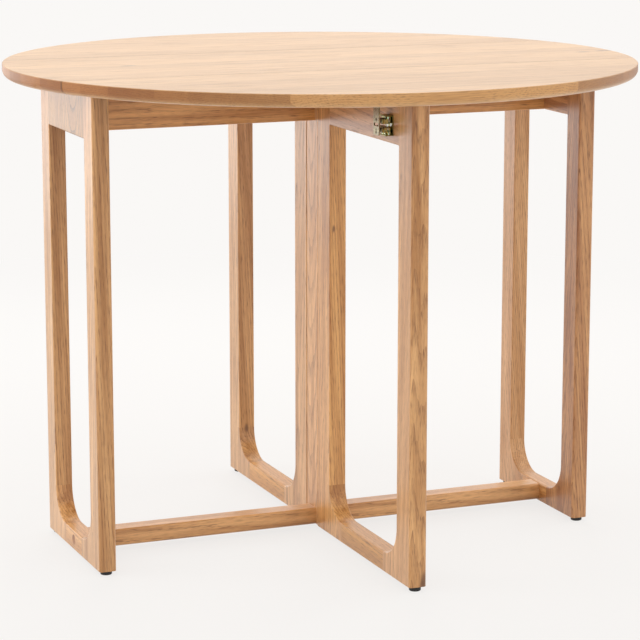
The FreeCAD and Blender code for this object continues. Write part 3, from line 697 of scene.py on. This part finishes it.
# %% [markdown]
# Glides are moulded in black polyethylene and rollers in nylon. The rollers get a dark tan, which is painted
# shade for the inside of the catch where they sit. A mould with an eroded face leaves a fine, even texture
# that takes the shine off. A flat colour would look like a hole, so noise mixes two close shades and lifts
# the surface a little. Beech dowels have fine flecks all over. They sit inside the joints, so the same
# speckle serves them, coarser and without gloss.

# %% Plastics and beech
speck_depth = 0.05


def speckled(name, colour, lighter, speck, roughness):
    """A solid material with specks of two close colours. speck is their width in millimetres."""
    solid = bpy.data.materials.new(name)
    tree = empty_tree(solid)
    place = put(tree, "ShaderNodeTexCoord")
    noise = put(tree, "ShaderNodeTexNoise", {"Vector": place.outputs["Object"], "Scale": 1 / (speck * mm),
                                             "Detail": 2.0})
    tint = put(tree, "ShaderNodeMix", {0: noise.outputs["Fac"], 6: linear(colour), 7: linear(lighter)},
               data_type="RGBA")
    bump = put(tree, "ShaderNodeBump", {"Height": noise.outputs["Fac"], "Strength": 0.2,
                                        "Distance": speck_depth * mm})
    shader = put(tree, "ShaderNodeBsdfPrincipled", {"Base Color": tint.outputs[2], "Roughness": roughness,
                                                    "IOR": 1.49, "Normal": bump.outputs[0]})
    put(tree, "ShaderNodeOutputMaterial", {"Surface": shader.outputs[0]})
    return solid


# The rollers' dark tan is painted shade for the inside of the catch
nylon = speckled("nylon roller with painted shade", "#85795C", "#988C70", 0.6, 0.42)
black_plastic = speckled("black polyethylene glide", "#0E0E0E", "#191918", 0.7, 0.5)
beech = speckled("beech dowel", "#C9A27C", "#D8B48F", 2.0, 0.6)
for side in ("front", "rear"):
    finish_node(side + "_catch_upper_roller", nylon)
    finish_node(side + "_catch_lower_roller", nylon)
    finish_node(side + "_gate_foot", black_plastic)
    finish_node(side + "_gate_dowels", beech)
finish_node("frame_feet", black_plastic)
finish_node("base_dowels", beech)
finish_node("centre_post_dowels", beech)
print("materials", len(bpy.data.materials))


# %% [markdown]
# Wood screws repeat nearly ninety times. Each could be modelled and copied by hand, but Geometry Nodes keep
# one screw with named sizes and put it on a cloud of points, so a changed size reaches them all. A screw is
# a cone for its head and a rod for its shank. The recess is cut by a cross of two boxes, and the tree ends
# in a plain mesh with its material.

# %% Screw
head_sides = 24
shank_sides = 12
recess_share = 0.58


def screw_tree(name):
    tree = bpy.data.node_groups.new(name, "GeometryNodeTree")
    tree.interface.new_socket("Geometry", in_out="INPUT", socket_type="NodeSocketGeometry")
    sizes = ("Head diameter", "Shank diameter", "Head height", "Length", "Recess width", "Recess depth")
    for size in sizes:
        tree.interface.new_socket(size, in_out="INPUT", socket_type="NodeSocketFloat")
    tree.interface.new_socket("Material", in_out="INPUT", socket_type="NodeSocketMaterial")
    tree.interface.new_socket("Geometry", in_out="OUTPUT", socket_type="NodeSocketGeometry")
    given = put(tree, "NodeGroupInput").outputs
    radius = {}
    for part in ("Head", "Shank"):
        halved = put(tree, "ShaderNodeMath", {0: given[part + " diameter"], 1: 0.5}, operation="MULTIPLY")
        radius[part] = halved.outputs[0]
    head = put(tree, "GeometryNodeMeshCone", {"Vertices": head_sides, "Radius Top": radius["Shank"],
                                              "Radius Bottom": radius["Head"],
                                              "Depth": given["Head height"]})
    shank = put(tree, "GeometryNodeMeshCone", {"Vertices": shank_sides, "Radius Top": radius["Shank"],
                                               "Radius Bottom": radius["Shank"], "Depth": given["Length"]})
    cross = put(tree, "GeometryNodeMeshBoolean", operation="UNION")
    for long_side in (0, 1):
        reach = put(tree, "ShaderNodeMath", {0: given["Head diameter"], 1: recess_share},
                    operation="MULTIPLY")
        sides = [given["Recess width"], given["Recess width"], given["Recess depth"]]
        sides[long_side] = reach.outputs[0]
        box = put(tree, "ShaderNodeCombineXYZ", dict(enumerate(sides)))
        arm = put(tree, "GeometryNodeMeshCube", {"Size": box.outputs[0]})
        tree.links.new(arm.outputs["Mesh"], cross.inputs["Mesh 2"])
    cut = put(tree, "GeometryNodeMeshBoolean", {"Mesh 1": head.outputs["Mesh"],
                                                "Mesh 2": cross.outputs["Mesh"]}, operation="DIFFERENCE")
    whole = put(tree, "GeometryNodeJoinGeometry")
    tree.links.new(shank.outputs["Mesh"], whole.inputs[0])
    tree.links.new(cut.outputs["Mesh"], whole.inputs[0])
    drive = put(tree, "GeometryNodeInputNamedAttribute", {"Name": "drive"}, data_type="FLOAT_VECTOR")
    turned = put(tree, "FunctionNodeAlignRotationToVector", {"Vector": drive.outputs["Attribute"]}, axis="Z")
    placed = put(tree, "GeometryNodeInstanceOnPoints", {"Points": given["Geometry"],
                                                        "Instance": whole.outputs[0],
                                                        "Rotation": turned.outputs[0]})
    real = put(tree, "GeometryNodeRealizeInstances", {0: placed.outputs[0]})
    dressed = put(tree, "GeometryNodeSetMaterial", {"Geometry": real.outputs[0],
                                                    "Material": given["Material"]})
    put(tree, "NodeGroupOutput", {0: dressed.outputs[0]})
    return tree


screws = screw_tree("countersunk screws")
print("screw inputs", [item.name for item in screws.interface.items_tree if item.in_out == "INPUT"])


# %% [markdown]
# The points come from the frame's own screws, so nothing is measured twice. Its mesh for one set of screws
# is taken apart into islands. An island is one screw, and its thicker end is the head, which tells which
# way the screw was driven. A list of places typed in by hand would be shorter, but it would go wrong as soon
# as a hinge moved.

# %% Places of the screws
merge_distance = 1e-6
same_level = 1e-5


def girth(points, axis, level, middle):
    """How far the points on one end of a screw lie from the screw's middle."""
    ring = [p for p in points if abs(p[axis] - level) < same_level]
    return max((p - middle).length for p in ring)


def places_of(node):
    """The head's middle and the driving direction of each screw in a node, read from its mesh."""
    shape = bmesh.new()
    shape.from_mesh(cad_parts[node].data)
    bmesh.ops.remove_doubles(shape, verts=shape.verts, dist=merge_distance)
    left = dict.fromkeys(shape.verts)
    found = []
    while left:
        island = [next(iter(left))]
        del left[island[0]]
        for vert in island:
            near = [edge.other_vert(vert) for edge in vert.link_edges]
            fresh = [v for v in near if v in left]
            for v in fresh:
                del left[v]
            island.extend(fresh)
        points = [v.co.copy() for v in island]
        low = Vector(min(p[i] for p in points) for i in range(3))
        high = Vector(max(p[i] for p in points) for i in range(3))
        axis = max(range(3), key=lambda i: high[i] - low[i])
        middle = (low + high) / 2
        head_high = girth(points, axis, high[axis], middle) > girth(points, axis, low[axis], middle)
        middle[axis] = high[axis] if head_high else low[axis]
        way = Vector((0, 0, 0))
        way[axis] = -1 if head_high else 1
        found.append((middle, way))
    shape.free()
    return found


print("screws in the frame", sum(len(places_of(node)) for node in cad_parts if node.endswith("_screws")))


# %% [markdown]
# Two sizes of screw hold the table together: short ones in the hinges, catches and strikes, and long ones
# up through the aprons and top rails into the middle board. Each set becomes one plain mesh on the body it
# is driven into, and stands for the frame's plain screws.

# %% Drive the screws
identifiers = {item.name: item.identifier for item in screws.interface.items_tree if item.in_out == "INPUT"}
wood_screw = {"Head diameter": 6.0, "Shank diameter": 3.0, "Head height": 1.5, "Length": 16.0,
              "Recess width": 0.9, "Recess depth": 1.8}
top_screw = {"Head diameter": 9.0, "Shank diameter": 4.5, "Head height": 3.0, "Length": 39.0,
             "Recess width": 1.3, "Recess depth": 3.0}


def drive_screws(node, body, sizes):
    places = places_of(node)
    mesh = bpy.data.meshes.new(node + "_points")
    mesh.from_pydata([spot for spot, way in places], [], [])
    drive = mesh.attributes.new("drive", "FLOAT_VECTOR", "POINT")
    drive.data.foreach_set("vector", [c for spot, way in places for c in way])
    cloud = bpy.data.objects.new(node + "_points", mesh)
    scene.collection.objects.link(cloud)
    modifier = cloud.modifiers.new("screws", "NODES")
    modifier.node_group = screws
    for size, value in sizes.items():
        modifier[identifiers[size]] = value * mm
    modifier[identifiers["Material"]] = zinc
    evaluated = cloud.evaluated_get(bpy.context.evaluated_depsgraph_get())
    made = bpy.data.objects.new(node + "_cross", bpy.data.meshes.new_from_object(evaluated))
    bpy.data.objects.remove(cloud)
    scene.collection.objects.link(made)
    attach(made, body)
    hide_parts(node)
    print(node, len(places), "screws", len(made.data.polygons), "faces")


for body in ("base", "front_gate", "rear_gate", "front_leaf", "rear_leaf"):
    drive_screws(body + "_screws", body, wood_screw)
drive_screws("top_screws", "base", top_screw)
